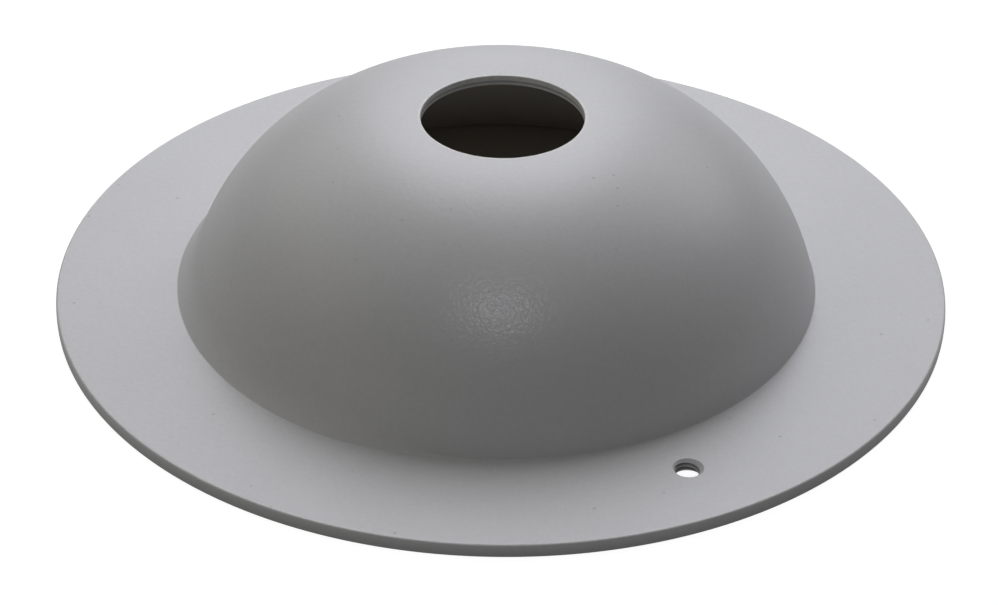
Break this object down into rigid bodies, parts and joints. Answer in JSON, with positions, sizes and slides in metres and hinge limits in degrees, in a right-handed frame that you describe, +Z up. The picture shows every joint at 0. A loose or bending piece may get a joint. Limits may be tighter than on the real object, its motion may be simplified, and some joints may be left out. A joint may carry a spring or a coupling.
{
  "type": "cowl vent",
  "caption": "Round dome with an open crown, on a flat round flange with tapped fixing holes: the deck part of a boat's air vent.",
  "frame": {"origin": "centre of the flange's underside", "axes": "+Z up through the crown opening; the flange's underside lies in the XY plane; -Y is the front, and the front tapped hole is 61.7 degrees from +X towards -Y"},
  "size_m": [0.2, 0.2, 0.0447],
  "materials": {
    "grey_paint": "matte, fine-grained light grey coat"
  },
  "bodies": {
    "root": {"flange_plate": "grey_paint", "dome_shell": "grey_paint", "foot_weld": "grey_paint"}
  },
  "joints": []
}
